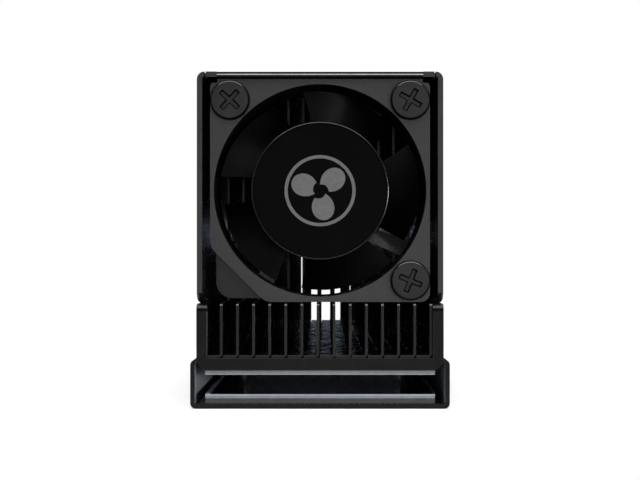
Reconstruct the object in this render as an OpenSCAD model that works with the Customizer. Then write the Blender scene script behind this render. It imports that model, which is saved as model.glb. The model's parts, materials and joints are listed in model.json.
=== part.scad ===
// Fan cooler for a card-type solid state drive: a finned aluminium cradle under a bent shroud,
// an axial fan across its front, and a snap-on tray that clamps the drive from below.
// X is the width, Y the length with the fan at the -Y end, Z is up. The origin is the bottom centre.

/* [Cooler] */
// Length of the tray and of the base cradle
cooler_len = 72; // [60:1:80]
// Height of the top of the shroud
cooler_h = 30.48; // [30.42:0.02:32]
// Gap that the drive fills between the two thermal pads
slot_h = 1.73; // [1.5:0.01:1.8]

/* [Tray] */
// Outside width of the tray
tray_w = 23.42; // [23.4:0.02:24.4]
// Sheet thickness of the tray
tray_sheet = 0.42; // [0.3:0.01:0.45]
// Outside radius of the tray's lower corners
tray_corner_r = 0.5; // [0.5:0.05:1]
// Clearance between each lip of the tray and the base cradle
lip_gap = 0.05; // [0.03:0.01:0.1]

/* [Pads] */
// Width of both thermal pads
pad_w = 20.75; // [18:0.25:21]
// Length of both thermal pads
pad_len = 70; // [50:1:71]
// Thickness of the pad under the drive
lower_pad_t = 0.41; // [0.3:0.01:0.5]
// Thickness of the firmer carrier pad between that pad and the tray
carrier_pad_t = 0.48; // [0.2:0.01:0.5]
// Thickness of the pad under the base cradle
upper_pad_t = 0.41; // [0.3:0.01:0.5]

/* [Base cradle] */
// Outside width of the base cradle and of the shroud
base_w = 22.32; // [22.3:0.02:23]
// Thickness of the cradle's floor
base_floor = 1.1; // [0.8:0.05:1.2]
// Thickness of the cradle's side walls
base_wall = 1; // [0.8:0.05:1]
// Height of the cradle's side walls above its underside
base_h = 6; // [5.8:0.1:6]
// Radius of the rounded corner at each end of the side walls' top edge
base_end_r = 0.65; // [0.3:0.05:0.8]
// Outside radius of the cradle's lower corners
base_corner_r = 1.1; // [0.6:0.1:1.1]

/* [Fins] */
// Distance from one fin to the next
fin_pitch = 1.458; // [1.44:0.002:1.46]
// Sheet thickness of a fin
fin_t = 0.24; // [0.18:0.01:0.26]
// Outside bend radius of a fin's folds
fin_bend_r = 0.4; // [0.3:0.05:0.5]
// Distance of the front fins' top above the cradle's side walls
low_fin_rise = 0.04; // [0:0.01:0.1]
// Radius of the rounded corner at the front of each fin's top edge
fin_end_r = 0.3; // [0.1:0.05:0.5]

/* [Shroud] */
// Sheet thickness of the shroud
shroud_t = 0.48; // [0.4:0.01:0.5]
// Distance of the shroud's front behind the cradle's front
shroud_setback = 0.5; // [0.3:0.1:1]
// Outside radius of the shroud's upper edges
shroud_corner_r = 0.7; // [0.6:0.05:1]
// Height of the slanted cut at each lower corner of the shroud's sides
shroud_cut = 0.97; // [0.6:0.01:1.5]
// Width of the tab beside each end of the rolled front edge
tab_w = 1; // [0.6:0.05:1.2]
// Drop of the rolled front edge from the top face
hem_drop = 0.62; // [0.58:0.01:0.64]

/* [Fan frame] */
// Width of the fan frame and height of its rear flange
fan_size = 20; // [20:0.1:20.2]
// Height of the fan's front flange
fan_face_h = 20.3; // [20.2:0.02:20.3]
// Depth of the fan frame
fan_depth = 8; // [8:0.1:8.4]
// Distance of the fan's front face behind the cradle's front
fan_setback = 1; // [1:0.1:1.5]
// Height of the fan's axis
fan_axis_z = 19.74; // [19.73:0.01:19.76]
// Bore radius of the fan frame
fan_bore_r = 9.66; // [9.6:0.01:9.7]
// Thickness of the frame's two flanges
flange_t = 1.2; // [1:0.1:1.5]
// Distance of each screw hole from the fan's axis, sideways and up
screw_pitch = 8.2; // [8.1:0.05:8.2]
// Legs of the front flange's cut corner, where the lead comes out
cut_leg = 5; // [4:0.05:5.2]
// Number of slanted struts that hold the motor base
strut_count = 4; // [3:1:4]

/* [Impeller] */
// Radius of the hub
hub_r = 6.3; // [6.3:0.02:6.4]
// Number of blades
blade_count = 5; // [3:1:7]
// Radius of the blade tips
blade_tip_r = 9.15; // [8.8:0.05:9.3]
// Angle that a blade covers around the hub from its front edge to its rear edge
blade_sweep = 57; // [30:1:60]
// Clockwise angle of the first blade's front edge from the top
blade_start = 350; // [340:1:355]

/* [Screws] */
// Radius of the screw heads
screw_head_r = 1.75; // [1.6:0.05:1.8]
// Height of the screw heads over the fan's face
screw_head_t = 0.5; // [0.4:0.05:0.6]
// Radius of the shallow seats that the screw heads sit in
seat_r = 1.85; // [1.8:0.01:1.9]
// Depth of the screw seats
seat_depth = 0.25; // [0.1:0.05:0.4]
// Radius of the screw shanks
screw_shank_r = 0.7; // [0.6:0.05:0.75]

/* [Hidden] */
$fn = 64;
eps = 0.01;
front = -cooler_len / 2;
fin_count = 14;
carrier_pad_z = tray_sheet;
lower_pad_z = carrier_pad_z + carrier_pad_t;
slot_z = lower_pad_z + lower_pad_t;
upper_pad_z = slot_z + slot_h;
base_z = upper_pad_z + upper_pad_t;
base_top = base_z + base_h;
channel_z = base_z + base_floor;
channel_half = base_w / 2 - base_wall;
pad_setback = 0.15;

lip_top = channel_z - 0.12;
lip_outer_r = tray_w / 2 - base_w / 2 - lip_gap;
lip_inner_r = max(lip_outer_r - tray_sheet, 0.02);

shroud_front = front + shroud_setback;
shroud_under = cooler_h - shroud_t;
shroud_inner = base_w / 2 - shroud_t;
foot_r = 0.5;
tab_outer = base_w / 2 - shroud_corner_r - 0.1;
hem_half = tab_outer - tab_w;
hem_r = 0.21;
hem_step = 0.15;
relief_w = 0.14;

fan_front = front + fan_setback;
fan_rear = fan_front + fan_depth;
fan_half = fan_size / 2;
face_half = fan_face_h / 2;
face_r = 0.85;
rear_r = 1.55;
cut_r = 1.5;
notch_w = 0.65;
notch_h = 0.35;
low_fin_top = base_top + low_fin_rise;
fin_front = front + 0.3;
fin_rear = -front - 0.5;
tall_fin_front = fan_rear + 0.5;
fold_gap = 0.03;
first_fin_x = channel_half - 0.02 - fin_t / 2 - (fin_count - 1) * fin_pitch;
fold_breaks = [15.3, 55.2];
fold_break_w = 0.7;
screw_places = [[-1, 1, 47], [1, 1, 60], [1, -1, 68]];
bite_len = 2.5;
screw_point_len = 0.6;
screw_point_r = 0.15;
screw_chamfer = 0.1;
recess_len = 2.2;
recess_w = 0.5;
recess_depth = 0.25;

motor_base_r = 6.2;
motor_base_t = 0.9;
strut_t = 1;
strut_root_w = 1.3;
strut_tip_w = 1.75;
strut_lean = 20.3;
strut_root = 0.8;
first_strut = 131.6;
tube_r = 1.55;
tube_bore_r = 1.05;
tube_top = 5;
bearing_bore_r = 0.52;
bearing_len = 1.4;
rear_bearing_z = 1;
front_bearing_z = 3.5;
shaft_r = 0.5;
ring_z = 0.5;
pcb_t = 0.35;
pcb_r = 5.2;
pcb_top = motor_base_t + pcb_t;
ic_w = 1.6;
ic_d = 1.5;
ic_h = 0.4;
ic_x = 3.4;
core_z = 2.2;
core_top = 4;
core_ring_r = 2.1;
insulator_t = 0.3;
insulator_grow = 0.05;
arm_half = 0.45;
coil_half = 0.95;
coil_inner_x = 2.2;
coil_outer_x = 3.65;
coil_build = 0.4;
pole_span = 72;
pole_inner_r = 3.75;
pole_outer_r = 4.55;
seal_t = 0.06;
seal_r = 4.5;
magnet_r = 4.75;
yoke_r = 5.3;
cup_r = 5.6;
rotor_z = 1.6;
yoke_top = 5.6;
yoke_floor_t = 0.3;
magnet_drop = 0.8;
shaft_rear = 0.35;
shaft_front = 6.9;
boss_r = 0.95;
rim_w = 0.18;
groove_r = 0.38;
groove_w = 0.22;
clip_r = 0.85;
hub_front = fan_depth - 0.6;
rim_h = 0.15;
label_t = 0.08;
blade_rear = 1.8;
blade_front = 7.1;
blade_w = 1;

function two_digits(i) = i < 10 ? str("0", i) : str(i);
function fin_name(i) = str("fin_", two_digits(i));
function fin_x(i) = first_fin_x + (i - 1) * fin_pitch;

FIN_NODES = [for (i = [1:fin_count]) fin_name(i)];

// Extrudes a profile drawn as X and Z along Y, from y0 to y1.
module along_y(y0, y1) {
    translate([0, y1, 0]) rotate([90, 0, 0]) linear_extrude(y1 - y0) children();
}

// Extrudes a profile drawn as Y and Z along X, from x0 to x1.
module along_x(x0, x1) {
    translate([x0, 0, 0]) rotate([90, 0, 90]) linear_extrude(x1 - x0) children();
}

// Puts a shape drawn in the fan's own axes, Z from its rear face to its front, into the cooler.
module in_fan() {
    translate([0, fan_rear, fan_axis_z]) rotate([90, 0, 0]) children();
}

// A straight sleeve around Z.
module sleeve(outer_r, inner_r, z0, z1) {
    difference() {
        translate([0, 0, z0]) cylinder(r = outer_r, h = z1 - z0);
        translate([0, 0, z0 - 1]) cylinder(r = inner_r, h = z1 - z0 + 2);
    }
}

// The part of a disc from angle a0 to a1, for spans under 180 degrees.
module sector(r, a0, a1) {
    reach = 2 * r;
    mid = (a0 + a1) / 2;
    intersection() {
        circle(r = r);
        polygon([
            [0, 0],
            reach * [cos(a0), sin(a0)],
            reach * [cos(mid), sin(mid)],
            reach * [cos(a1), sin(a1)]
        ]);
    }
}

// ---- base cradle ----

module cradle_profile() {
    half = base_w / 2;
    difference() {
        union() {
            translate([-half, base_z + base_corner_r]) square([base_w, base_h - base_corner_r]);
            translate([-half + base_corner_r, base_z])
                square([base_w - 2 * base_corner_r, base_corner_r + eps]);
            for (side = [-1, 1])
                translate([side * (half - base_corner_r), base_z + base_corner_r])
                    circle(r = base_corner_r);
        }
        translate([-channel_half, channel_z]) square([2 * channel_half, base_h]);
    }
}

// What a rounded corner of radius r removes, with the corner at the origin and the solid below and behind it.
module corner_cut(r, w) {
    translate([-w / 2, 0, 0]) difference() {
        translate([0, -1, -r]) cube([w, r + 1, r + 1]);
        translate([-1, r, -r]) rotate([0, 90, 0]) cylinder(r = r, h = w + 2);
    }
}

// The ends of the side walls' top edges are rounded.
module cradle_edge_cuts() {
    for (turn = [0, 180])
        rotate(turn) translate([0, front, base_top]) corner_cut(base_end_r, base_w + 2);
}

module base_cradle() {
    color("#202020") difference() {
        along_y(front, -front) cradle_profile();
        cradle_edge_cuts();
    }
}

// ---- fins ----

// A fold at the foot of a fin, turned towards -X, from the web's right face at x = 0.
module fold_profile(length) {
    difference() {
        union() {
            translate([-length, 0]) square([length - fin_bend_r, fin_t]);
            translate([-fin_bend_r, fin_bend_r]) circle(r = fin_bend_r);
        }
        translate([-fin_bend_r, fin_bend_r]) circle(r = fin_bend_r - fin_t);
        translate([-length - 1, fin_bend_r]) square([length + 2, fin_bend_r + 1]);
        translate([-length - 1, fin_t]) square([length + 1 - fin_bend_r, fin_bend_r + 1]);
    }
}

module web_profile(z0, z1) {
    translate([-fin_t, z0]) square([fin_t, z1 - z0]);
}

module low_fin_profile(fold_len) {
    translate([0, channel_z]) fold_profile(fold_len);
    web_profile(channel_z + fin_bend_r - eps, low_fin_top);
}

module tall_fin_profile(fold_len) {
    translate([0, channel_z]) fold_profile(fold_len);
    web_profile(channel_z + fin_bend_r - eps, shroud_under - fin_bend_r + eps);
    translate([0, shroud_under]) mirror([0, 1]) fold_profile(fin_pitch - fold_gap);
}

// Threads bite into the fins' front edges, so the shanks leave round notches there.
module shank_notches() {
    in_fan() for (s = screw_places)
        translate([s[0] * screw_pitch, s[1] * screw_pitch, -bite_len - 0.1])
            cylinder(r = screw_shank_r + 0.02, h = bite_len + 1);
}

module fold_break_cuts() {
    for (d = fold_breaks)
        translate([-base_w, front + d, channel_z - 1])
            cube([2 * base_w, fold_break_w, 1 + fin_bend_r]);
}

module fin(i) {
    x = fin_x(i) + fin_t / 2;
    fold_len = i == 1 ? x + channel_half - fold_gap : fin_pitch - fold_gap;
    color("#3a3a3a") difference() {
        union() {
            translate([x, 0, 0]) along_y(fin_front, tall_fin_front) low_fin_profile(fold_len);
            translate([x, 0, 0]) along_y(tall_fin_front, fin_rear) tall_fin_profile(fold_len);
        }
        translate([0, fin_front, low_fin_top]) corner_cut(fin_end_r, 2 * base_w);
        shank_notches();
        fold_break_cuts();
    }
}

// ---- shroud ----

// Half of the shroud's outline: foot, side wall and top, turned at rounded edges.
module shroud_outline() {
    half = base_w / 2;
    difference() {
        union() {
            translate([-half, base_top + foot_r])
                square([base_w, cooler_h - base_top - foot_r - shroud_corner_r]);
            translate([-half + shroud_corner_r, cooler_h - shroud_corner_r - eps])
                square([base_w - 2 * shroud_corner_r, shroud_corner_r + eps]);
            translate([-half + foot_r, base_top]) square([base_w - 2 * foot_r, foot_r + eps]);
            for (side = [-1, 1]) {
                translate([side * (half - shroud_corner_r), cooler_h - shroud_corner_r])
                    circle(r = shroud_corner_r);
                translate([side * (half - foot_r), base_top + foot_r]) circle(r = foot_r);
            }
        }
        translate([-shroud_inner, base_top + shroud_t])
            square([2 * shroud_inner, shroud_under - base_top - shroud_t]);
        translate([-channel_half - 0.1, base_top - 1]) square([2 * channel_half + 0.2, 3]);
    }
}

// The slot that divides each tab from the rounded edge beside it.
module relief_slots() {
    for (side = [-1, 1])
        translate([side * (tab_outer + relief_w / 2) - relief_w / 2, shroud_front - 1, shroud_under - 1])
            cube([relief_w, 2, 2]);
}

module shroud_end_cuts() {
    for (end = [-1, 1])
        translate([0, end * shroud_front, base_top])
            rotate([45, 0, 0])
                cube([base_w + 2, shroud_cut * sqrt(2), shroud_cut * sqrt(2)], center = true);
}

// The rolled front edge: a bead below the top plate's edge that stands a little in front of it.
module rolled_edge() {
    bead_top = cooler_h - hem_step - hem_r;
    bead_low = cooler_h - hem_drop + hem_r;
    along_x(-hem_half, hem_half) {
        translate([shroud_front, bead_low]) square([2 * hem_r, bead_top - bead_low]);
        translate([shroud_front + hem_r, bead_top]) circle(r = hem_r);
        translate([shroud_front + hem_r, bead_low]) circle(r = hem_r);
        translate([shroud_front + hem_r, shroud_under]) square([hem_r + 0.2, shroud_t]);
    }
}

module top_shroud() {
    color("#3e3e3e") union() {
        difference() {
            along_y(shroud_front, -shroud_front) shroud_outline();
            relief_slots();
            shroud_end_cuts();
            translate([-hem_half, shroud_front - 1, shroud_under - 1])
                cube([2 * hem_half, 1 + hem_r + 0.1, 3]);
        }
        rolled_edge();
    }
}

// ---- tray and pads ----

// The lip turns in over the cradle's lower edge from the top of the tray's side.
module lip_profile() {
    z = lip_top - lip_outer_r;
    translate([tray_w / 2 - lip_outer_r, z]) intersection() {
        difference() {
            circle(r = lip_outer_r);
            circle(r = lip_inner_r);
        }
        square(lip_outer_r + 1);
    }
}

module tray_half_profile() {
    z = lip_top - lip_outer_r;
    inner_r = max(tray_corner_r - tray_sheet, 0.05);
    square([tray_w / 2 - tray_corner_r, tray_sheet]);
    translate([tray_w / 2 - tray_sheet, tray_corner_r]) square([tray_sheet, z - tray_corner_r]);
    translate([tray_w / 2 - tray_corner_r, tray_corner_r]) intersection() {
        difference() {
            circle(r = tray_corner_r);
            circle(r = inner_r);
        }
        translate([0, -tray_corner_r - 1]) square(tray_corner_r + 1);
    }
    lip_profile();
}

module tray() {
    color("#222222") along_y(front, -front) {
        tray_half_profile();
        mirror([1, 0]) tray_half_profile();
    }
}

module pad(z, thickness) {
    translate([-pad_w / 2, front + pad_setback, z]) cube([pad_w, pad_len, thickness]);
}

module carrier_pad() {
    color("#484848") pad(carrier_pad_z, carrier_pad_t);
}

module lower_pad() {
    color("#78808a") pad(lower_pad_z, lower_pad_t);
}

module upper_pad() {
    color("#9a9ca0") pad(upper_pad_z, upper_pad_t);
}

// ---- fan frame ----

module rounded_square(size, r) {
    half = size / 2;
    square([size, size - 2 * r], center = true);
    square([size - 2 * r, size], center = true);
    for (x = [-1, 1], y = [-1, 1]) translate([x * (half - r), y * (half - r)]) circle(r = r);
}

module top_notches() {
    for (side = [-1, 1])
        translate([side * fan_half, face_half]) square([2 * notch_w, 2 * notch_h], center = true);
}

// The cut corner, where the lead comes out, is at lower left, with rounded ends.
module front_flange() {
    run = cut_r * tan(22.5);
    step = run / sqrt(2);
    difference() {
        union() {
            polygon([
                [-fan_half + step, -face_half + cut_leg - step],
                [-fan_half, -face_half + cut_leg + run],
                [-fan_half, face_half - face_r],
                [-fan_half + face_r, face_half],
                [fan_half - face_r, face_half],
                [fan_half, face_half - face_r],
                [fan_half, -face_half + face_r],
                [fan_half - face_r, -face_half],
                [-fan_half + cut_leg + run, -face_half],
                [-fan_half + cut_leg - step, -face_half + step]
            ]);
            translate([-fan_half + cut_r, -face_half + cut_leg + run]) circle(r = cut_r);
            translate([-fan_half + cut_leg + run, -face_half + cut_r]) circle(r = cut_r);
            for (c = [[-1, 1], [1, 1], [1, -1]])
                translate([c[0] * (fan_half - face_r), c[1] * (face_half - face_r)]) circle(r = face_r);
        }
        top_notches();
    }
}

module screw_bosses() {
    for (s = screw_places) translate([s[0], s[1]] * screw_pitch) circle(r = fan_half - screw_pitch);
}

// A strut grows wider from the motor base to the duct.
module strut_profile() {
    length = fan_bore_r - motor_base_r + 2 * strut_root;
    polygon([
        [0, -strut_root_w / 2],
        [length, -strut_tip_w / 2],
        [length, strut_tip_w / 2],
        [0, strut_root_w / 2]
    ]);
}

module motor_base() {
    for (i = [0:strut_count - 1])
        rotate(90 - first_strut - i * 360 / strut_count)
            translate([motor_base_r - strut_root, 0, 0])
                rotate(strut_lean) linear_extrude(strut_t) strut_profile();
    difference() {
        cylinder(r = motor_base_r, h = motor_base_t);
        translate([0, 0, -1]) cylinder(r = tube_bore_r, h = motor_base_t + 2);
    }
}

module fan_frame() {
    color("#404040") in_fan() {
        difference() {
            union() {
                linear_extrude(flange_t) rounded_square(fan_size, rear_r);
                translate([0, 0, fan_depth - flange_t]) linear_extrude(flange_t) front_flange();
                cylinder(r = fan_half, h = fan_depth - flange_t + eps);
                linear_extrude(fan_depth - flange_t + eps) screw_bosses();
            }
            translate([0, 0, -1]) cylinder(r = fan_bore_r, h = fan_depth + 2);
            for (s = screw_places) translate([s[0] * screw_pitch, s[1] * screw_pitch, 0]) {
                translate([0, 0, -1]) cylinder(r = screw_shank_r + 0.1, h = fan_depth + 2);
                translate([0, 0, fan_depth - seat_depth]) cylinder(r = seat_r, h = 1);
            }
        }
        intersection() {
            motor_base();
            cylinder(r = fan_bore_r + 0.05, h = 2);
        }
    }
}

// ---- screws ----

module cross_recess(turn) {
    rotate(turn) for (a = [0, 90])
        rotate(a) translate([0, 0, 0.5]) cube([recess_len, recess_w, 1], center = true);
}

module screw(turn) {
    head_top = fan_depth + screw_head_t;
    difference() {
        union() {
            translate([0, 0, fan_depth - seat_depth])
                cylinder(r = screw_head_r, h = seat_depth + screw_head_t - screw_chamfer);
            translate([0, 0, head_top - screw_chamfer])
                cylinder(r1 = screw_head_r, r2 = screw_head_r - screw_chamfer, h = screw_chamfer);
            translate([0, 0, screw_point_len - bite_len])
                cylinder(r = screw_shank_r, h = fan_depth + bite_len);
            translate([0, 0, -bite_len])
                cylinder(r1 = screw_point_r, r2 = screw_shank_r, h = screw_point_len);
        }
        translate([0, 0, head_top - recess_depth]) cross_recess(turn);
    }
}

module fan_screws() {
    color("#333333") in_fan() for (s = screw_places)
        translate([s[0] * screw_pitch, s[1] * screw_pitch, 0]) screw(s[2]);
}

// ---- fan motor, fixed ----

module bearing_tube() {
    color("#b08d4c") in_fan() sleeve(tube_r, tube_bore_r, motor_base_t, tube_top);
}

module bearing(z0) {
    color("#8a6a3a") in_fan() sleeve(tube_bore_r - eps, bearing_bore_r, z0, z0 + bearing_len);
}

module core_profile(grow) {
    circle(r = core_ring_r + grow);
    for (a = [0:90:270]) rotate(a) {
        translate([0, -arm_half - grow]) square([pole_inner_r + 0.3, 2 * (arm_half + grow)]);
        difference() {
            sector(pole_outer_r, -pole_span / 2, pole_span / 2);
            circle(r = pole_inner_r);
        }
    }
}

module stator_core() {
    color("#55585c") in_fan() difference() {
        translate([0, 0, core_z]) linear_extrude(core_top - core_z) core_profile(0);
        cylinder(r = tube_r + eps, h = tube_top);
    }
}

module stator_insulator() {
    color("#e4e0d4") in_fan() for (z = [core_z - insulator_t, core_top])
        difference() {
            translate([0, 0, z]) linear_extrude(insulator_t) core_profile(insulator_grow);
            translate([0, 0, z - 1]) cylinder(r = tube_r + eps, h = 3);
        }
}

// The turns of wire around one arm of the core, as one hollow block.
module coil() {
    inner_half = arm_half + insulator_grow + eps;
    inner_low = core_z - insulator_t - eps;
    inner_top = core_top + insulator_t + eps;
    difference() {
        translate([coil_inner_x, -coil_half, inner_low - coil_build])
            cube([coil_outer_x - coil_inner_x, 2 * coil_half, inner_top - inner_low + 2 * coil_build]);
        translate([coil_inner_x - 1, -inner_half, inner_low])
            cube([coil_outer_x, 2 * inner_half, inner_top - inner_low]);
    }
}

module stator_coils() {
    color("#b5651d") in_fan() for (a = [0:90:270]) rotate(a) coil();
}

module motor_pcb() {
    color("#1f5a35") in_fan() sleeve(pcb_r, tube_r + 0.1, motor_base_t, pcb_top);
}

module driver_ic() {
    color("#17181a") in_fan() rotate(45)
        translate([ic_x, -ic_d / 2, pcb_top]) cube([ic_w, ic_d, ic_h]);
}

module rear_seal_label() {
    color("#6f7276") in_fan() translate([0, 0, -seal_t]) cylinder(r = seal_r, h = seal_t);
}

// ---- rotor ----

// A blade is a thin radial strip that turns as it rises from its rear edge to its front edge.
module blade() {
    translate([0, 0, blade_rear])
        linear_extrude(height = blade_front - blade_rear, twist = -blade_sweep, slices = 16, segments = 8)
            polygon([
                [hub_r - 0.3, -blade_w / 2],
                [blade_tip_r, -blade_w / 2],
                [blade_tip_r, blade_w / 2],
                [hub_r - 0.3, blade_w / 2]
            ]);
}

module impeller() {
    color("#161616") in_fan() {
        difference() {
            translate([0, 0, rotor_z]) cylinder(r = hub_r, h = hub_front + rim_h - rotor_z);
            translate([0, 0, rotor_z - 1]) cylinder(r = cup_r, h = yoke_top - rotor_z + 1);
            translate([0, 0, hub_front]) cylinder(r = hub_r - rim_w, h = 1);
            translate([0, 0, rotor_z]) cylinder(r = shaft_r, h = shaft_front - rotor_z);
        }
        sleeve(boss_r, shaft_r, tube_top + 0.15, yoke_top + eps);
        for (i = [0:blade_count - 1])
            rotate(90 - blade_start - blade_sweep - i * 360 / blade_count) blade();
    }
}

module rotor_yoke() {
    color("#8d9196") in_fan() {
        sleeve(cup_r, yoke_r, rotor_z + 0.1, yoke_top);
        sleeve(yoke_r + eps, boss_r + 0.05, yoke_top - yoke_floor_t, yoke_top);
    }
}

module magnet_ring() {
    color("#4a4a4d") in_fan() sleeve(yoke_r, magnet_r, rotor_z + 0.2, yoke_top - magnet_drop);
}

module shaft() {
    color("#c9ccd0") in_fan() difference() {
        translate([0, 0, shaft_rear]) cylinder(r = shaft_r, h = shaft_front - shaft_rear);
        sleeve(2, groove_r, ring_z, ring_z + groove_w);
    }
}

// The split ring in the shaft's groove that keeps the rotor in its bearings.
module retaining_ring() {
    color("#e8e8e8") in_fan() difference() {
        sleeve(clip_r, groove_r + eps, ring_z + eps, ring_z + groove_w - eps);
        translate([0, -0.15, 0]) cube([2, 0.3, 2]);
    }
}

module hub_label() {
    color("#0f0f0f") in_fan() translate([0, 0, hub_front]) cylinder(r = hub_r - rim_w - 0.04, h = label_t);
}

base_cradle();
for (i = [1:fin_count])
    fin(i);
top_shroud();
upper_pad();
tray();
carrier_pad();
lower_pad();
fan_frame();
fan_screws();
bearing_tube();
bearing(front_bearing_z);  // bearing_front
bearing(rear_bearing_z);  // bearing_rear
stator_core();
stator_insulator();
stator_coils();
motor_pcb();
driver_ic();
rear_seal_label();
impeller();
rotor_yoke();
magnet_ring();
shaft();
retaining_ring();
hub_label();
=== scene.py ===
"""The looks of a fan cooler for a card-type drive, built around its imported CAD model.

X is the width, Y the length with the fan at the -Y end, Z is up. Sizes are written in millimetres
and turned into metres by MM, which is also what the frame uses.
"""

import json
import math

import bmesh
import bpy
from mathutils import Matrix, Vector

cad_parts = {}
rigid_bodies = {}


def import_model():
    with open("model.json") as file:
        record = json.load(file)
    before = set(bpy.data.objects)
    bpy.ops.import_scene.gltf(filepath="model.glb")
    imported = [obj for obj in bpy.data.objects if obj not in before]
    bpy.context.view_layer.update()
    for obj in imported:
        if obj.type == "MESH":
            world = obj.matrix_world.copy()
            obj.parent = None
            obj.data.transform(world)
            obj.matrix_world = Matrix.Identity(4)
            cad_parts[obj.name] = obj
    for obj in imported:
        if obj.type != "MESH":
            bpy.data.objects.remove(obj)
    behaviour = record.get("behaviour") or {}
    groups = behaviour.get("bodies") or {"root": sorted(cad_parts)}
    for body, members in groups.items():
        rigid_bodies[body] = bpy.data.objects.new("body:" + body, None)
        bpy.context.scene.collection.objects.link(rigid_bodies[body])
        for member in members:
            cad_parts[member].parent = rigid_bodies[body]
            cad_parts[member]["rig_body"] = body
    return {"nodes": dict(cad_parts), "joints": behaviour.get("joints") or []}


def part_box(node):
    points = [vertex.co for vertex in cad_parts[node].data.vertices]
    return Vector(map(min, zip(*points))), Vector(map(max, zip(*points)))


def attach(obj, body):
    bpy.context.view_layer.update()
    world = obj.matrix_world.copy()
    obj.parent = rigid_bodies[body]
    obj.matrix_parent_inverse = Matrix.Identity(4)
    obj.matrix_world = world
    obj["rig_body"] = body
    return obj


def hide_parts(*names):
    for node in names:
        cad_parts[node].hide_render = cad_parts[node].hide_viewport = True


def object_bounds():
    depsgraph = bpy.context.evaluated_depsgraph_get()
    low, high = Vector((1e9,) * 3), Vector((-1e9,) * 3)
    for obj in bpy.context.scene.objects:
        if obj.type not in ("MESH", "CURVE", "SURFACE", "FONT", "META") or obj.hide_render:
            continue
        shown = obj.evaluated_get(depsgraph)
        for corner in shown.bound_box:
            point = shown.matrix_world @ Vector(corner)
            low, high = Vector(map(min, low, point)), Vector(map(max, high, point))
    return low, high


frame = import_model()
cad_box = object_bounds()

MM = 0.001
NODES = frame["nodes"]
FIN_NODES = sorted(n for n in NODES if n.startswith("fin_"))
FAN_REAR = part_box("fan_frame")[1].y / MM
FAN_Z = next(j for j in frame["joints"] if j["name"] == "fan_spin")["pos_m"][2] / MM

# The fan's own sizes: heights count from its rear face, angles run clockwise from the top.
BORE_R = 9.66
STRUT_FRONT = 1
BLADE_COUNT = 5
BLADE_START = 349.9
BLADE_SWEEP = 57
LABEL_LOW = 7.4
LABEL_TOP = 7.48
MARK_TOP = 7.5

# Each screw's place and the turn of its cross.
SCREWS = ((-8.2, 8.2, 47), (8.2, 8.2, 60), (8.2, -8.2, 68))
SEAT_R = 1.85
SEAT_FLOOR = 7.75
HEAD_R = 1.75
HEAD_TOP = 8.5

# How near a point has to be to a size above to count as lying on it.
NEAR = 0.05


# ---------------------------------------------------------------- camera, floor and lights


def make_camera():
    """A long lens 120 mm in front of the cooler, level, a little off its middle."""
    data = bpy.data.cameras.new("camera")
    data.sensor_width = 36
    data.lens = 74.87
    data.shift_x = -0.00844
    data.shift_y = 0.03125
    data.clip_start = 0.005
    data.clip_end = 10
    camera = bpy.data.objects.new("camera", data)
    camera.location = Vector((0.487, -156, 13.41)) * MM
    camera.rotation_euler = (math.radians(90), 0, 0)
    bpy.context.scene.collection.objects.link(camera)
    bpy.context.scene.camera = camera


def make_floor():
    """Pale paper round the cooler that fades into the white surround."""
    bm = bmesh.new()
    bmesh.ops.create_circle(bm, cap_ends=True, segments=96, radius=1.5)
    mesh = bpy.data.meshes.new("floor")
    bm.to_mesh(mesh)
    bm.free()
    floor = bpy.data.objects.new("floor", mesh)
    gap = 0.02 * MM
    floor.location.z = cad_box[0].z - gap
    bpy.context.scene.collection.objects.link(floor)
    mesh.materials.append(floor_material())


def floor_material():
    """Matt paper, clear beyond an oval round the cooler's foot."""
    material = bpy.data.materials.new("floor_paper")
    material.use_nodes = True
    tree = material.node_tree
    tree.nodes.clear()
    out = tree.nodes.new("ShaderNodeOutputMaterial")
    mix = tree.nodes.new("ShaderNodeMixShader")
    paper = tree.nodes.new("ShaderNodeBsdfDiffuse")
    paper.inputs["Color"].default_value = (0.9, 0.9, 0.905, 1)
    glow = tree.nodes.new("ShaderNodeEmission")
    glow.inputs["Strength"].default_value = 0.16
    lit = tree.nodes.new("ShaderNodeAddShader")
    clear = tree.nodes.new("ShaderNodeBsdfTransparent")
    place = tree.nodes.new("ShaderNodeTexCoord")
    squeeze = tree.nodes.new("ShaderNodeMapping")
    squeeze.inputs["Scale"].default_value = (1, 0.93, 1)
    length = tree.nodes.new("ShaderNodeVectorMath")
    length.operation = "LENGTH"
    reach = tree.nodes.new("ShaderNodeMapRange")
    reach.interpolation_type = "SMOOTHSTEP"
    reach.inputs["From Min"].default_value = 0.032
    reach.inputs["From Max"].default_value = 0.050
    tree.links.new(place.outputs["Object"], squeeze.inputs["Vector"])
    tree.links.new(squeeze.outputs["Vector"], length.inputs[0])
    tree.links.new(length.outputs["Value"], reach.inputs["Value"])
    tree.links.new(reach.outputs["Result"], mix.inputs["Fac"])
    tree.links.new(paper.outputs[0], lit.inputs[0])
    tree.links.new(glow.outputs[0], lit.inputs[1])
    tree.links.new(lit.outputs[0], mix.inputs[1])
    tree.links.new(clear.outputs[0], mix.inputs[2])
    tree.links.new(mix.outputs[0], out.inputs["Surface"])
    return material


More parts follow.
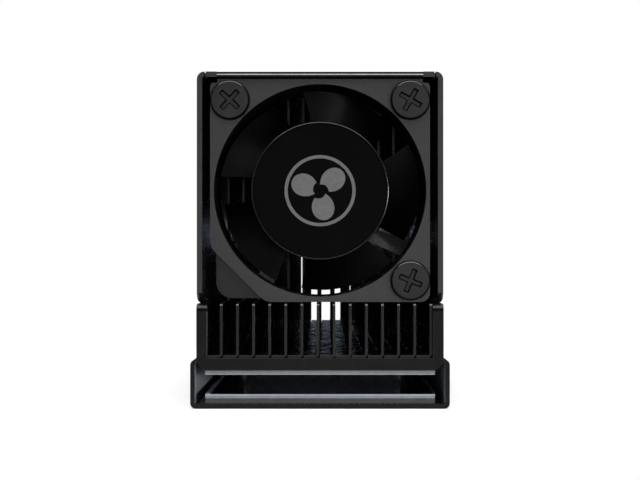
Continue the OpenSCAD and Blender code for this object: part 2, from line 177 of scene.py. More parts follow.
def softbox(name, azimuth, elevation, distance, width, height, radiance, tint=(1, 1, 1)):
    """A rectangular light that faces the cooler. Azimuth 0 is in front, 90 on its right, in degrees."""
    turn, rise = math.radians(azimuth), math.radians(elevation)
    aim = Vector((0, 0, 0.015))
    way = Vector((math.sin(turn) * math.cos(rise), -math.cos(turn) * math.cos(rise), math.sin(rise)))
    data = bpy.data.lights.new(name, "AREA")
    data.shape = "RECTANGLE"
    data.size = width
    data.size_y = height
    data.energy = radiance * math.pi * width * height
    data.color = tint
    light = bpy.data.objects.new(name, data)
    light.location = aim + way * distance
    light.rotation_euler = (-way).to_track_quat("-Z", "Y").to_euler()
    light.visible_camera = False
    bpy.context.scene.collection.objects.link(light)


def make_world():
    """White where the camera sees it. Surfaces see a dark studio with a dim grey wall at eye level.

    The wall is at full strength in front of the cooler and almost dark behind it.
    """
    world = bpy.data.worlds.new("studio")
    bpy.context.scene.world = world
    world.use_nodes = True
    tree = world.node_tree
    tree.nodes.clear()
    out = tree.nodes.new("ShaderNodeOutputWorld")
    mix = tree.nodes.new("ShaderNodeMixShader")
    path = tree.nodes.new("ShaderNodeLightPath")
    seen = tree.nodes.new("ShaderNodeBackground")
    seen.inputs["Color"].default_value = (1, 1, 1, 1)
    seen.inputs["Strength"].default_value = 1.0
    room = tree.nodes.new("ShaderNodeBackground")
    room.inputs["Color"].default_value = (1, 1, 1, 1)
    way = tree.nodes.new("ShaderNodeTexCoord")
    axes = tree.nodes.new("ShaderNodeSeparateXYZ")
    wall = tree.nodes.new("ShaderNodeValToRGB")
    wall.color_ramp.interpolation = "EASE"
    stops = ((0.42, 0.02), (0.47, 0.22), (0.545, 0.22), (0.61, 0.03))
    wall.color_ramp.elements[0].position = stops[0][0]
    wall.color_ramp.elements[0].color = (*[stops[0][1]] * 3, 1)
    wall.color_ramp.elements[1].position = stops[-1][0]
    wall.color_ramp.elements[1].color = (*[stops[-1][1]] * 3, 1)
    for position, level in stops[1:-1]:
        wall.color_ramp.elements.new(position).color = (level, level, level, 1)
    height = tree.nodes.new("ShaderNodeMapRange")
    height.inputs["From Min"].default_value = -1
    height.inputs["From Max"].default_value = 1
    side = tree.nodes.new("ShaderNodeMapRange")
    side.inputs["From Min"].default_value = 0.3
    side.inputs["From Max"].default_value = 0.9
    side.inputs["To Min"].default_value = 1.0
    side.inputs["To Max"].default_value = 0.04
    dim = tree.nodes.new("ShaderNodeMath")
    dim.operation = "MULTIPLY"
    tree.links.new(way.outputs["Generated"], axes.inputs[0])
    tree.links.new(axes.outputs["Z"], height.inputs["Value"])
    tree.links.new(height.outputs["Result"], wall.inputs["Fac"])
    tree.links.new(axes.outputs["Y"], side.inputs["Value"])
    tree.links.new(wall.outputs["Color"], dim.inputs[0])
    tree.links.new(side.outputs["Result"], dim.inputs[1])
    tree.links.new(dim.outputs[0], room.inputs["Strength"])
    tree.links.new(path.outputs["Is Camera Ray"], mix.inputs["Fac"])
    tree.links.new(room.outputs[0], mix.inputs[1])
    tree.links.new(seen.outputs[0], mix.inputs[2])
    tree.links.new(mix.outputs[0], out.inputs["Surface"])


def make_lights():
    """Soft boxes round the cooler. The low rear one shines through the slot and along the fins."""
    softbox("top_box", 0, 68, 0.46, 0.62, 0.60, 3.0)
    softbox("front_box", 0, 0, 0.62, 0.25, 0.24, 2.4)
    softbox("key_box", 45, 1.5, 0.44, 0.26, 0.05, 24)
    softbox("left_box", -70, 25, 0.45, 0.20, 0.26, 0.5)
    softbox("rear_box", 180, 45, 0.50, 0.40, 0.28, 2.5)
    softbox("right_side_box", 105, 22, 0.50, 0.50, 0.30, 2.0)
    softbox("left_side_box", -105, 22, 0.50, 0.50, 0.30, 1.7)
    softbox("low_rear_box", 180, 1.3, 0.60, 0.11, 0.012, 1.3, (0.82, 0.95, 1.2))
    bpy.context.scene.view_settings.view_transform = "Standard"


# ---------------------------------------------------------------- materials


class Finish:
    """A Principled material whose colour, roughness and bump come from procedural noise."""

    def __init__(self, name, color, roughness, metallic=0.0, specular=0.3):
        self.material = bpy.data.materials.new(name)
        self.material.use_nodes = True
        self.tree = self.material.node_tree
        self.shader = self.tree.nodes["Principled BSDF"]
        self.shader.inputs["Base Color"].default_value = (*color, 1)
        self.shader.inputs["Roughness"].default_value = roughness
        self.shader.inputs["Metallic"].default_value = metallic
        self.shader.inputs["Specular IOR Level"].default_value = specular
        self.color = color
        self.roughness = roughness
        self.place = self.add("ShaderNodeTexCoord").outputs["Object"]
        self.height = None

    def add(self, kind):
        return self.tree.nodes.new(kind)

    def link(self, a, b):
        self.tree.links.new(a, b)

    def noise(self, size_mm, detail=3.0, stretch=(1, 1, 1)):
        """Noise whose features are size_mm across, drawn out by stretch along X, Y and Z."""
        mapping = self.add("ShaderNodeMapping")
        mapping.inputs["Scale"].default_value = tuple(1 / (size_mm * MM * s) for s in stretch)
        self.link(self.place, mapping.inputs["Vector"])
        texture = self.add("ShaderNodeTexNoise")
        texture.inputs["Scale"].default_value = 1.0
        texture.inputs["Detail"].default_value = detail
        self.link(mapping.outputs[0], texture.inputs["Vector"])
        return texture.outputs["Fac"]

    def spread(self, value, low, high, from_low=0.3, from_high=0.7):
        """Maps a noise value onto the range low to high."""
        node = self.add("ShaderNodeMapRange")
        node.inputs["From Min"].default_value = from_low
        node.inputs["From Max"].default_value = from_high
        node.inputs["To Min"].default_value = low
        node.inputs["To Max"].default_value = high
        self.link(value, node.inputs["Value"])
        return node.outputs["Result"]

    def vary_color(self, value, other, from_low=0.35, from_high=0.65):
        """Blends the base colour towards other where value is high."""
        mix = self.add("ShaderNodeMix")
        mix.data_type = "RGBA"
        mix.inputs[6].default_value = (*self.color, 1)
        mix.inputs[7].default_value = (*other, 1)
        self.link(self.spread(value, 0, 1, from_low, from_high), mix.inputs[0])
        self.link(mix.outputs[2], self.shader.inputs["Base Color"])
        return self

    def vary_roughness(self, value, amount):
        self.link(
            self.spread(value, self.roughness - amount, self.roughness + amount),
            self.shader.inputs["Roughness"],
        )
        return self

    def bump(self, value, depth_mm, strength=1.0):
        node = self.add("ShaderNodeBump")
        node.inputs["Strength"].default_value = strength
        node.inputs["Distance"].default_value = depth_mm * MM
        self.link(value, node.inputs["Height"])
        if self.height is not None:
            self.link(self.height, node.inputs["Normal"])
        self.height = node.outputs["Normal"]
        self.link(self.height, self.shader.inputs["Normal"])
        return self


def grey(level, blue=0.0):
    return (level, level, level * (1 + blue))


def anodised(name, level, roughness=0.42, specular=0.2, along="y", grain=0.004):
    """Black anodised aluminium with a fine grain and faint drawing lines along one axis."""
    finish = Finish(name, grey(level, 0.03), roughness, specular=specular)
    stretch = {"x": (40, 1, 1), "y": (1, 40, 1), "z": (1, 1, 40)}[along]
    lines = finish.noise(0.12, 2.0, stretch)
    cloud = finish.noise(2.5, 3.0)
    finish.vary_color(cloud, grey(level * 1.45, 0.03))
    finish.vary_roughness(lines, 0.07)
    finish.bump(lines, grain, 0.5)
    finish.bump(finish.noise(0.05, 4.0), grain, 0.6)
    return finish.material


def moulded(name, level, roughness=0.5, specular=0.3, grain=0.012, size=0.12):
    """Black moulded plastic with a spark-eroded texture."""
    finish = Finish(name, grey(level, 0.02), roughness, specular=specular)
    spark = finish.noise(size, 4.0)
    finish.vary_color(finish.noise(3.0, 2.0), grey(level * 1.2, 0.02))
    finish.vary_roughness(spark, 0.08)
    finish.bump(spark, grain, 0.7)
    return finish.material


def metal(name, color, roughness, grain=0.003, along="y", size=0.06):
    """Bare or plated metal with fine lines along one axis."""
    finish = Finish(name, color, roughness, metallic=1.0, specular=0.5)
    stretch = {"x": (30, 1, 1), "y": (1, 30, 1), "z": (1, 1, 30)}[along]
    lines = finish.noise(size, 3.0, stretch)
    finish.vary_color(finish.noise(1.2, 3.0), tuple(c * 0.8 for c in color))
    finish.vary_roughness(lines, 0.08)
    finish.bump(lines, grain, 0.6)
    return finish.material


def silicone(name, color, dark, roughness=0.55):
    """Thermal pad: filled silicone gel with a mottled, faintly grainy surface."""
    finish = Finish(name, color, roughness, specular=0.3)
    finish.vary_color(finish.noise(0.5, 5.0), dark)
    finish.vary_roughness(finish.noise(0.8, 3.0), 0.08)
    finish.bump(finish.noise(0.12, 4.0), 0.02, 0.5)
    return finish.material


def sheared(name, level, specular=0.5, roughness=0.38):
    """The cut edge of a black aluminium sheet, with the shear's fine vertical lines."""
    finish = Finish(name, grey(level, 0.01), roughness, specular=specular)
    lines = finish.noise(0.08, 2.0, (1, 1, 25))
    finish.vary_color(finish.noise(1.1, 3.0), grey(level * 1.4, 0.01))
    finish.vary_roughness(lines, 0.08)
    finish.bump(lines, 0.006, 0.5)
    return finish.material


def paint(node, material):
    """Gives a CAD node's own object a finished material."""
    NODES[node].data.materials.clear()
    NODES[node].data.materials.append(material)


# ---------------------------------------------------------------- mesh helpers, in millimetres


def add_piece(name, bm, body, materials, nodes=(), sharp=35, weighted=True):
    """Turns a mesh drawn in millimetres into a piece that rides on body and replaces nodes."""
    bmesh.ops.recalc_face_normals(bm, faces=bm.faces)
    mesh = bpy.data.meshes.new(name)
    bm.to_mesh(mesh)
    bm.free()
    mesh.transform(Matrix.Scale(MM, 4))
    mesh.shade_smooth()
    mesh.set_sharp_from_angle(angle=math.radians(sharp))
    for material in materials:
        mesh.materials.append(material)
    piece = bpy.data.objects.new(name, mesh)
    bpy.context.scene.collection.objects.link(piece)
    if weighted:
        flat_first = piece.modifiers.new("weighted_normals", "WEIGHTED_NORMAL")
        flat_first.keep_sharp = True
    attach(piece, body)
    if nodes:
        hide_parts(*nodes)
    return piece


def cad_copy(node):
    """A CAD node's mesh in millimetres, welded, with its flat faces whole."""
    bm = bmesh.new()
    bm.from_mesh(NODES[node].data)
    bmesh.ops.scale(bm, vec=(1 / MM,) * 3, verts=bm.verts)
    bmesh.ops.remove_doubles(bm, verts=bm.verts, dist=0.0005)
    bmesh.ops.dissolve_limit(bm, angle_limit=math.radians(0.8), verts=bm.verts, edges=bm.edges)
    return bm


def sharp_edges(bm, degrees):
    limit = math.radians(degrees)
    return [e for e in bm.edges if len(e.link_faces) == 2 and e.calc_face_angle() > limit]


def bevel(bm, edges, width, segments=2, material=-1):
    bmesh.ops.bevel(
        bm, geom=edges, offset=width, offset_type="OFFSET", segments=segments, profile=0.5,
        affect="EDGES", clamp_overlap=True, material=material,
    )


def softened(node, name, width, materials, pick, segments=2, leave=None):
    """A copy of a CAD node with its sharp edges rounded by width, apart from those that leave names.

    pick gives each face its material.
    """
    bm = cad_copy(node)
    edges = [e for e in sharp_edges(bm, 38) if not (leave and leave(e))]
    bevel(bm, edges, width, segments)
    bm.normal_update()
    for face in bm.faces:
        face.material_index = pick(face.normal, face.calc_center_median())
    return add_piece(name, bm, frame["nodes"][node]["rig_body"], materials, [node])


def lathe(bm, profile, steps=96, material=0):
    """Turns a closed outline of (radius, z) points round Z. Points on the axis become poles."""
    rings = []
    for r, z in profile:
        if r < 1e-6:
            rings.append([bm.verts.new((0, 0, z))] * steps)
        else:
            turns = (2 * math.pi * i / steps for i in range(steps))
            rings.append([bm.verts.new((r * math.cos(a), r * math.sin(a), z)) for a in turns])
    for k in range(len(rings)):
        lower, upper = rings[k], rings[(k + 1) % len(rings)]
        for i in range(steps):
            j = (i + 1) % steps
            corners = []
            for v in (lower[i], lower[j], upper[j], upper[i]):
                if v not in corners:
                    corners.append(v)
            if len(corners) > 2:
                bm.faces.new(corners).material_index = material


def arc(center_r, center_z, radius, start, end, steps=6):
    """Outline points along an arc, angles in degrees from the +r direction towards +z."""
    angles = (math.radians(start + (end - start) * i / steps) for i in range(steps + 1))
    return [(center_r + radius * math.cos(a), center_z + radius * math.sin(a)) for a in angles]


def combined(base, tool, operation):
    """The exact boolean of two bmeshes in millimetres, as a new bmesh."""
    objects = []
    for bm in (base, tool):
        bmesh.ops.recalc_face_normals(bm, faces=bm.faces)
        mesh = bpy.data.meshes.new("scratch")
        bm.to_mesh(mesh)
        bm.free()
        objects.append(bpy.data.objects.new("scratch", mesh))
        bpy.context.scene.collection.objects.link(objects[-1])
    cut = objects[0].modifiers.new("cut", "BOOLEAN")
    cut.operation = operation
    cut.solver = "EXACT"
    cut.object = objects[1]
    evaluated = objects[0].evaluated_get(bpy.context.evaluated_depsgraph_get())
    result = bmesh.new()
    result.from_mesh(evaluated.to_mesh())
    for scratch in objects:
        mesh = scratch.data
        bpy.data.objects.remove(scratch)
        bpy.data.meshes.remove(mesh)
    return result


def into_fan(bm):
    """Moves a mesh from the fan's own axes, Z from its rear face to its front, into the cooler."""
    turn = Matrix.Rotation(math.radians(90), 4, "X")
    bmesh.ops.transform(bm, matrix=Matrix.Translation((0, FAN_REAR, FAN_Z)) @ turn, verts=bm.verts)


# ---------------------------------------------------------------- pieces


def make_base():
    """The cradle: matt machined ends and glossy anodising, with painted shade on the rounded front ends
    of its walls, a dark matt copy of the anodising, and painted light on its outer sides, a lighter
    copy.
    """
    faces = [
        anodised("cradle_anodised", 0.003, 0.22, 0.35),
        sheared("cradle_machined_end", 0.004, 0.1),
        anodised("cradle_painted_shade_round", 0.002, 0.4, 0.04),
        anodised("cradle_painted_light_side", 0.020, 0.30, 0.5),
    ]
    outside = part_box("base_cradle")[1].x / MM - 0.1

    def pick(normal, middle):
        if abs(normal.y) > 0.999:
            return 1
        # Painted light: the outer sides get a lighter copy of the anodising.
        if abs(normal.x) > 0.9 and abs(middle.x) > outside:
            return 3
        # Painted shade: the first facets of the rounded wall ends get a dark matt copy of the
        # anodising.
        return 2 if abs(normal.y) > 0.93 and normal.z > 0.05 else 0

    softened("base_cradle", "cradle_body", 0.05, faces, pick, 3)


def fin_coating():
    """Black anodised sheet with the patchy gloss that soldering leaves on thin folded fins."""
    finish = Finish("fin_anodised", grey(0.003, 0.05), 0.27, specular=0.5)
    lines = finish.noise(0.12, 2.0, (1, 1, 40))
    patches = finish.noise(0.7, 4.0, (1, 1.6, 1))
    finish.vary_color(finish.noise(2.5, 3.0), grey(0.0045, 0.05))
    finish.vary_roughness(patches, 0.14)
    finish.bump(patches, 0.05, 0.8)
    finish.bump(lines, 0.004, 0.5)
    return finish.material


def make_fins():
    """Folded fins with sheared front edges and glossy upper corners."""
    faces = [
        fin_coating(),
        sheared("fin_sheared_edge", 0.0065, 0.18),
        anodised("fin_rounded_corner", 0.003, 0.2, 0.9, "z"),
    ]

    def pick(normal, middle):
        if abs(normal.y) > 0.995:
            return 1
        return 2 if normal.y < -0.2 and normal.z > 0.2 else 0

    for node in FIN_NODES:
        softened(node, node + "_sheet", 0.03, faces, pick, 2)


def make_shroud():
    """The cover sheet, with a polished roll between the two corner tabs over the fan. The rest of the
    roll and the edges over the fan carry painted shade, a dark matt copy of the anodising; the outer
    sides carry painted light, a lighter copy.
    """
    faces = [
        anodised("shroud_anodised", 0.004, 0.22, 0.4),
        sheared("shroud_sheared_edge", 0.012, 0.38),
        metal("shroud_polished_roll", (0.2, 0.2, 0.205), 0.2, along="x"),
        anodised("shroud_painted_shade_roll", 0.002, 0.45, 0.04, "x"),
        anodised("shroud_painted_light_side", 0.020, 0.30, 0.5),
    ]
    low, high = (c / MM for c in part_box("top_shroud"))
    roll_half, roll_depth = 9.4, 0.2

    def pick(normal, middle):
        tab = normal.y < -0.999 and middle.y < low.y + 0.02
        over_fan = abs(middle.x) < roll_half and middle.z > high.z - 0.7 and middle.y < low.y + 1
        # Painted shade: over the fan, every face but the polished band gets a dark matt copy of the
        # anodising.
        if over_fan and not tab:
            return 2 if middle.y < low.y + roll_depth and 0.25 < normal.z < 0.85 else 3
        # Painted light: the outer sides get a lighter copy of the anodising.
        if abs(normal.x) > 0.9 and abs(middle.x) > high.x - 0.1:
            return 4
        return 1 if abs(normal.y) > 0.995 else 0

    softened("top_shroud", "shroud_sheet", 0.03, faces, pick, 2)


def make_tray():
    """The tray: black lacquer, with painted light on its inner sides under the lips, a pale colour
    standing in for the light they catch, and on its outer sides, a lighter copy of the lacquer.
    """
    faces = [
        anodised("tray_lacquer", 0.004, 0.25, 0.4),
        sheared("tray_sheared_edge", 0.0045, 0.1),
        silicone("tray_painted_light_inside", (0.235, 0.252, 0.285), (0.2, 0.215, 0.245), 0.5),
        anodised("tray_painted_light_side", 0.020, 0.30, 0.5),
    ]
    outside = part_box("tray")[1].x / MM

    def pick(normal, middle):
        if abs(normal.y) > 0.995:
            return 1
        if abs(normal.x) < 0.9:
            return 0
        # Painted light: inner side faces get a pale colour, outer side faces a lighter copy of the
        # lacquer.
        if normal.x * middle.x < 0:
            return 2 if abs(middle.x) < outside - 0.3 else 0
        return 3 if abs(middle.x) > outside - 0.1 else 0

    softened("tray", "tray_sheet", 0.04, faces, pick, 3)


def make_fan_frame():
    """The fan's housing: a matt front, painted shade on the duct, sides and screw seats as a darker
    copy of the plastic, and painted light on the struts' fronts as a lighter, glossier copy.
    """
    faces = [
        moulded("fan_frame_plastic", 0.014, 0.40, 0.42, 0.008),
        moulded("fan_duct_painted_shade", 0.003, 0.38, 0.2, 0.004),
        moulded("fan_strut_painted_light", 0.055, 0.28, 0.75, 0.003),
    ]
    rings = [(0, 0, BORE_R)] + [(x, z, SEAT_R) for x, z, turn in SCREWS]
    seat_floor, strut_front = FAN_REAR - SEAT_FLOOR, FAN_REAR - STRUT_FRONT

    def on_ring(edge):
        """The edges of the bore and the screw seats stay sharp."""
        return any(
            all(abs(math.hypot(v.co.x - x, v.co.z - FAN_Z - z) - r) < NEAR for v in edge.verts)
            for x, z, r in rings
        )

    def pick(normal, middle):
        # Painted shade on faces not facing the front and on the seat floors; painted light on the strut
        # fronts.
        if abs(normal.y) < 0.95 or abs(middle.y - seat_floor) < NEAR:
            return 1
        return 2 if abs(middle.y - strut_front) < NEAR else 0

    softened("fan_frame", "fan_housing", 0.06, faces, pick, 3, on_ring)


def screw_profile():
    """Half of a screw's outline: a flat head with a rounded rim, the shank and its point."""
    round_r, shank_r, tip_r, shank_low, tip_low = 0.14, 0.7, 0.15, -1.9, -2.5
    outline = [(0, HEAD_TOP)]
    outline += arc(HEAD_R - round_r, HEAD_TOP - round_r, round_r, 90, 0)
    outline += [(HEAD_R, SEAT_FLOOR), (shank_r, SEAT_FLOOR), (shank_r, shank_low)]
    outline += [(tip_r, tip_low), (0, tip_low)]
    return outline


def make_screws():
    """Three black screws with a cross recess, each turned its own way. The upper half of each head's
    rounded rim carries a painted highlight, a glossy copy of the finish; the sides, the lower rim and
    the recess walls carry painted shade, a dark matt copy.
    """
    faces = [
        anodised("screw_black_zinc", 0.009, 0.38, 0.25, grain=0.01),
        anodised("screw_painted_highlight_rim", 0.003, 0.18, 1.0),
        anodised("screw_painted_shade_side", 0.002, 0.5, 0.05),
    ]
    recess_depth, arm, arm_half, slope = 0.25, 1.0, 0.14, 0.12
    whole = bmesh.new()
    for x, y, turn in SCREWS:
        head = bmesh.new()
        lathe(head, screw_profile(), 64)
        recess = bmesh.new()
        cross_recess(recess, arm, arm_half, HEAD_TOP - recess_depth, slope)
        bmesh.ops.rotate(recess, matrix=Matrix.Rotation(math.radians(turn), 3, "Z"), verts=recess.verts)
        screw = combined(head, recess, "DIFFERENCE")
        screw.normal_update()
        for face in screw.faces:
            middle = face.calc_center_median()
            if abs(face.normal.z) > 0.97:
                face.material_index = 0
            else:
                # Painted highlight on the upper half of the rim, painted shade on every other face that
                # is not flat.
                on_rim = math.hypot(middle.x, middle.y) > HEAD_R - 0.25 and face.normal.z > 0.2
                painted_highlight_half = face.normal.y > 0.3
                face.material_index = 1 if on_rim and painted_highlight_half else 2
        bmesh.ops.translate(screw, vec=(x, y, 0), verts=screw.verts)
        scratch = bpy.data.meshes.new("scratch")
        screw.to_mesh(scratch)
        screw.free()
        whole.from_mesh(scratch)
        bpy.data.meshes.remove(scratch)
    into_fan(whole)
    add_piece("fan_screw_set", whole, "cooler", faces, ["fan_screws"], weighted=False)


def cross_outline(arm, half):
    """The outline of a plus sign whose arms end square with small rounded corners."""
    corner = 0.4 * half
    quarter = [(half, half)]
    for side, start in ((1, 90), (-1, 0)):
        quarter += [
            (arm - corner + corner * math.cos(a), side * (half - corner) + corner * math.sin(a))
            for a in (math.radians(start - 90 * i / 4) for i in range(5))
        ]
    turns = [math.radians(-90 * k) for k in range(4)]
    return [
        (x * math.cos(t) - y * math.sin(t), x * math.sin(t) + y * math.cos(t))
        for t in turns for x, y in quarter
    ]


def cross_recess(bm, arm, half, low, slope):
    """A cross whose walls open out by slope towards the head's top."""
    high = low + 0.5
    spread = slope * 2
    bottom = [bm.verts.new((x, y, low)) for x, y in cross_outline(arm, half)]
    top = [bm.verts.new((x, y, high)) for x, y in cross_outline(arm + spread, half + spread)]
    bm.faces.new(bottom)
    bm.faces.new(list(reversed(top)))
    for i in range(len(bottom)):
        j = (i + 1) % len(bottom)
        bm.faces.new([bottom[i], top[i], top[j], bottom[j]])


def hub_profile():
    """Half of the hub's outline: a cup, with a boss inside for the shaft and a recess for the label."""
    low, rim_top, round_r, hub_r, cup_r, recess_r = 1.6, 7.55, 0.1, 6.3, 5.6, 6.12
    cup_top, boss_r, boss_low, shaft_r, shaft_top = 5.6, 0.95, 5.15, 0.5, 6.9
    outline = [(0, shaft_top), (shaft_r, shaft_top), (shaft_r, boss_low), (boss_r, boss_low)]
    outline += [(boss_r, cup_top), (cup_r, cup_top), (cup_r, low)]
    outline += arc(hub_r - round_r, low + round_r, round_r, -90, 0, 4)
    outline += arc(hub_r - round_r, rim_top - round_r, round_r, 0, 90, 6)
    outline += [(recess_r, rim_top), (recess_r, LABEL_LOW), (0, LABEL_LOW)]
    return outline


def blade(bm, first, sweep, rows=14, columns=24):
    """A curved blade from the hub to its tip, front edge at angle first clockwise from the top."""
    root_r, tip_r, rear_z, front_z, lean = 6.1, 9.15, 1.95, 6.95, 3.1

    def point(u, v, side):
        radius = root_r + (tip_r - root_r) * v
        angle = first + lean * (1 - v) * (1 - u) + sweep * u
        drop = 0.25 * u + 0.75 * u * u
        z = front_z - (front_z - rear_z) * drop
        slope = math.atan2((front_z - rear_z) * (0.25 + 1.5 * u), math.radians(sweep) * radius)
        thick = 0.10 + 0.16 * math.sin(math.pi * min(1, 0.08 + 0.92 * u)) ** 0.6
        angle += side * math.degrees(thick * math.sin(slope) / radius)
        z += side * thick * math.cos(slope)
        a = math.radians(90 - angle)
        return radius * math.cos(a), radius * math.sin(a), z

    grids = []
    for side in (1, -1):
        grids.append([
            [bm.verts.new(point(i / columns, j / rows, side)) for j in range(rows + 1)]
            for i in range(columns + 1)
        ])
    top, under = grids
    for i in range(columns):
        for j in range(rows):
            bm.faces.new([top[i][j], top[i + 1][j], top[i + 1][j + 1], top[i][j + 1]])
            bm.faces.new([under[i][j], under[i][j + 1], under[i + 1][j + 1], under[i + 1][j]])
    for i in range(columns):
        for j in (0, rows):
            bm.faces.new([top[i][j], top[i + 1][j], under[i + 1][j], under[i][j]])
    for j in range(rows):
        for i in (0, columns):
            bm.faces.new([top[i][j], top[i][j + 1], under[i][j + 1], under[i][j]])


def make_impeller():
    """The hub and its blades as one moulding."""
    faces = [
        moulded("impeller_plastic", 0.0042, 0.32, 0.015, 0.003, 0.08),
        moulded("impeller_rim_plastic", 0.003, 0.22, 0.8, 0.002, 0.08),
    ]
    rim_low, rim_inner = 7.47, 6.205
    wheel = bmesh.new()
    lathe(wheel, hub_profile(), 128)
    for k in range(BLADE_COUNT):
        one = bmesh.new()
        blade(one, BLADE_START + k * 360 / BLADE_COUNT, BLADE_SWEEP)
        wheel = combined(wheel, one, "UNION")
    for face in wheel.faces:
        middle = face.calc_center_median()
        on_rim = middle.z > rim_low and math.hypot(middle.x, middle.y) > rim_inner
        face.material_index = 1 if on_rim else 0
    into_fan(wheel)
    add_piece("impeller_wheel", wheel, "rotor", faces, ["impeller"], 30, False)


def make_hub_label():
    """A thin printed disc in the hub's recess."""
    film = moulded("hub_label_film", 0.002, 0.4, 0.02, 0.002, 0.05)
    disc = bmesh.new()
    radius, round_r = 6.08, 0.03
    outline = [(0, LABEL_LOW), (radius, LABEL_LOW)]
    outline += arc(radius - round_r, LABEL_TOP - round_r, round_r, 0, 90, 4)
    outline += [(0, LABEL_TOP)]
    lathe(disc, outline, 128)
    into_fan(disc)
    add_piece("hub_disc_film", disc, "rotor", [film], ["hub_label"])


def ring_sector(bm, inner, outer, start, end, low, high, steps=24):
    """A closed flat sector of a ring, with inner and outer radius as functions of its share."""
    loops = []
    for i in range(steps + 1):
        s = i / steps
        a = math.radians(90 - (start + (end - start) * s))
        ri, ro = inner(s), outer(s)
        loops.append([
            bm.verts.new((r * math.cos(a), r * math.sin(a), z))
            for r, z in ((ri, low), (ro, low), (ro, high), (ri, high))
        ])
    for a, b in zip(loops, loops[1:]):
        for k in range(4):
            bm.faces.new([a[k], a[(k + 1) % 4], b[(k + 1) % 4], b[k]])
    bm.faces.new(loops[0])
    bm.faces.new(list(reversed(loops[-1])))


def make_mark():
    """A plain printed mark: a thin ring round three curved vanes."""
    ink = Finish("hub_ink", grey(0.125), 0.55, specular=0.2)
    ink.vary_color(ink.noise(0.4, 4.0), grey(0.145))
    ink.bump(ink.noise(0.05, 3.0), 0.003, 0.5)
    mark = bmesh.new()
    low, high, ring_inner, ring_outer, vane_sweep = LABEL_TOP, MARK_TOP, 2.95, 3.25, 96
    lathe(mark, [(ring_inner, low), (ring_outer, low), (ring_outer, high), (ring_inner, high)], 96)

    def vane_inner(share):
        return 0.55 + 0.25 * share

    def vane_outer(share):
        return 0.75 + 1.85 * math.sin(math.pi * share) ** 0.8 + 0.25 * share

    for k in range(3):
        ring_sector(mark, vane_inner, vane_outer, 120 * k, 120 * k + vane_sweep, low, high)
    into_fan(mark)
    add_piece("hub_printed_mark", mark, "rotor", [ink.material], weighted=False)


def block(bm, low, high, material, soft=0.06):
    """A closed box with rounded edges."""
    fresh = bmesh.ops.create_cube(bm, size=1)["verts"]
    for v in fresh:
        v.co = Vector(a + (b - a) * (c + 0.5) for a, b, c in zip(low, high, v.co))
    faces = {f for v in fresh for f in v.link_faces}
    for face in faces:
        face.material_index = material
    edges = list({e for f in faces for e in f.edges})
    bevel(bm, edges, min(soft, (high.z - low.z) / 3), 3)


def liner(bm, low, high, crease_x, material):
    """A release film drawn as a strip along Y, with a sharp crease where it was folded once."""
    thick, rise, half = high.z - low.z, 0.006, 0.12
    outline = [
        (low.x, low.z), (high.x, low.z), (high.x, low.z + thick - rise),
        (crease_x + half, low.z + thick - rise), (crease_x, high.z),
        (crease_x - half, low.z + thick - rise), (low.x, low.z + thick - rise),
    ]
    front = [bm.verts.new((x, low.y, z)) for x, z in outline]
    back = [bm.verts.new((x, high.y, z)) for x, z in outline]
    made = [bm.faces.new(front), bm.faces.new(list(reversed(back)))]
    for i in range(len(outline)):
        j = (i + 1) % len(outline)
        made.append(bm.faces.new([front[i], back[i], back[j], front[j]]))
    for face in made:
        face.material_index = material


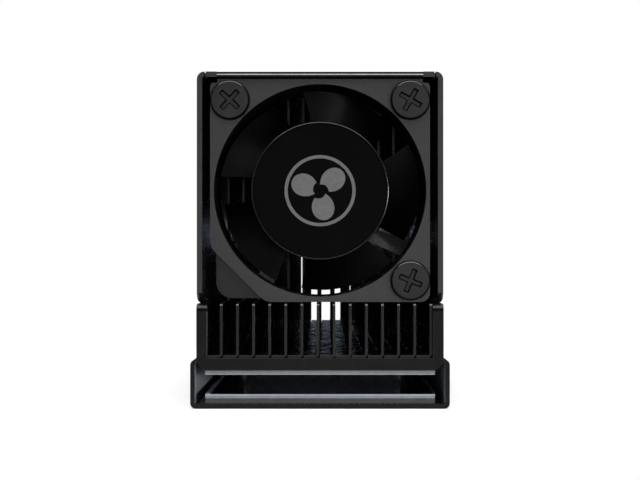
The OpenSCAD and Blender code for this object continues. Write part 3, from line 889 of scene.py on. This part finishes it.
def make_pads():
    """The pad under the drive on its carrier, the pad over it, and their dark release films. Each pad
    has a thin lighter layer along its face towards the drive, a painted highlight where it shows at the
    front.
    """
    film_t, upper_crease, lower_crease = 0.012, 4.0, -9.0
    upper_highlight_band_t, lower_highlight_band_t = 0.12, 0.17
    film = Finish("liner_film", (0.0045, 0.0056, 0.008), 0.057, specular=0.2)
    film.vary_color(film.noise(2.0, 3.0), (0.006, 0.0065, 0.009))
    film.vary_roughness(film.noise(1.0, 2.0), 0.02)
    film.bump(film.noise(4.0, 1.0, (1, 3, 1)), 0.004, 0.4)
    highlight_band = silicone("pad_painted_highlight_band", (0.29, 0.31, 0.34), (0.245, 0.262, 0.292))

    low, high = (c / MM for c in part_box("upper_pad"))
    upper = bmesh.new()
    highlight_band_z = low.z + upper_highlight_band_t
    block(upper, Vector((low.x, low.y, highlight_band_z)), high, 0)
    # Painted highlight: a thin lighter band next to the drive.
    block(upper, low + Vector((0, 0, film_t)), Vector((high.x, high.y, highlight_band_z)), 2, 0.02)
    liner(upper, low, Vector((high.x, high.y, low.z + film_t)), upper_crease, 1)
    grey_pad = silicone("upper_pad_silicone", (0.185, 0.195, 0.205), (0.16, 0.165, 0.178))
    piece = add_piece(
        "upper_thermal_pad", upper, "cooler", [grey_pad, film.material, highlight_band], ["upper_pad"]
    )

    low, high = (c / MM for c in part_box("lower_pad"))
    lower = bmesh.new()
    highlight_band_z = high.z - lower_highlight_band_t
    block(lower, low, Vector((high.x, high.y, highlight_band_z)), 0)
    # Painted highlight: a thin lighter band next to the drive.
    block(lower, Vector((low.x, low.y, highlight_band_z)), high - Vector((0, 0, film_t)), 2, 0.03)
    film_left, film_right, film_front = -9.95, 10.3, low.y + 0.01
    start = Vector((film_left, film_front, high.z - film_t))
    liner(lower, start, Vector((film_right, high.y, high.z)), lower_crease, 1)
    blue = silicone("lower_pad_silicone", (0.175, 0.188, 0.212), (0.15, 0.16, 0.185))
    piece = add_piece(
        "lower_thermal_pad", lower, "tray", [blue, film.material, highlight_band], ["lower_pad"]
    )

    low, high = (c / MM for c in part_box("carrier_pad"))
    carrier = bmesh.new()
    block(carrier, low, high, 0)
    dark = silicone("carrier_pad_silicone", (0.036, 0.037, 0.039), (0.029, 0.030, 0.032))
    piece = add_piece("carrier_pad_block", carrier, "tray", [dark], ["carrier_pad"])


def paint_cad():
    """The fan motor inside the hub: CAD shapes with finished materials."""
    paint("bearing_tube", metal("tube_brass", (0.65, 0.47, 0.22), 0.3))
    bronze = metal("bearing_bronze", (0.42, 0.27, 0.14), 0.45)
    paint("bearing_front", bronze)
    paint("bearing_rear", bronze)
    paint("stator_core", metal("core_steel", (0.32, 0.33, 0.35), 0.42, along="z"))
    paint("stator_insulator", moulded("insulator_nylon", 0.7, 0.45, 0.4, 0.006))
    paint("stator_coils", metal("coil_copper", (0.72, 0.30, 0.12), 0.25, 0.02, "x", 0.1))
    paint("motor_pcb", moulded("pcb_mask", 0.05, 0.35, 0.5, 0.003))
    paint("driver_ic", moulded("ic_epoxy", 0.02, 0.5, 0.4, 0.006))
    paint("rear_seal_label", metal("seal_foil", (0.5, 0.51, 0.53), 0.4))
    paint("rotor_yoke", metal("yoke_zinc", (0.5, 0.52, 0.55), 0.35))
    paint("magnet_ring", moulded("magnet_ferrite", 0.04, 0.6, 0.3, 0.01))
    paint("shaft", metal("shaft_steel", (0.62, 0.63, 0.65), 0.15))
    paint("retaining_ring", moulded("ring_nylon", 0.75, 0.4, 0.4, 0.004))


make_camera()
make_floor()
make_world()
make_lights()
make_base()
make_fins()
make_shroud()
make_tray()
make_pads()
make_fan_frame()
make_screws()
make_impeller()
make_hub_label()
make_mark()
paint_cad()
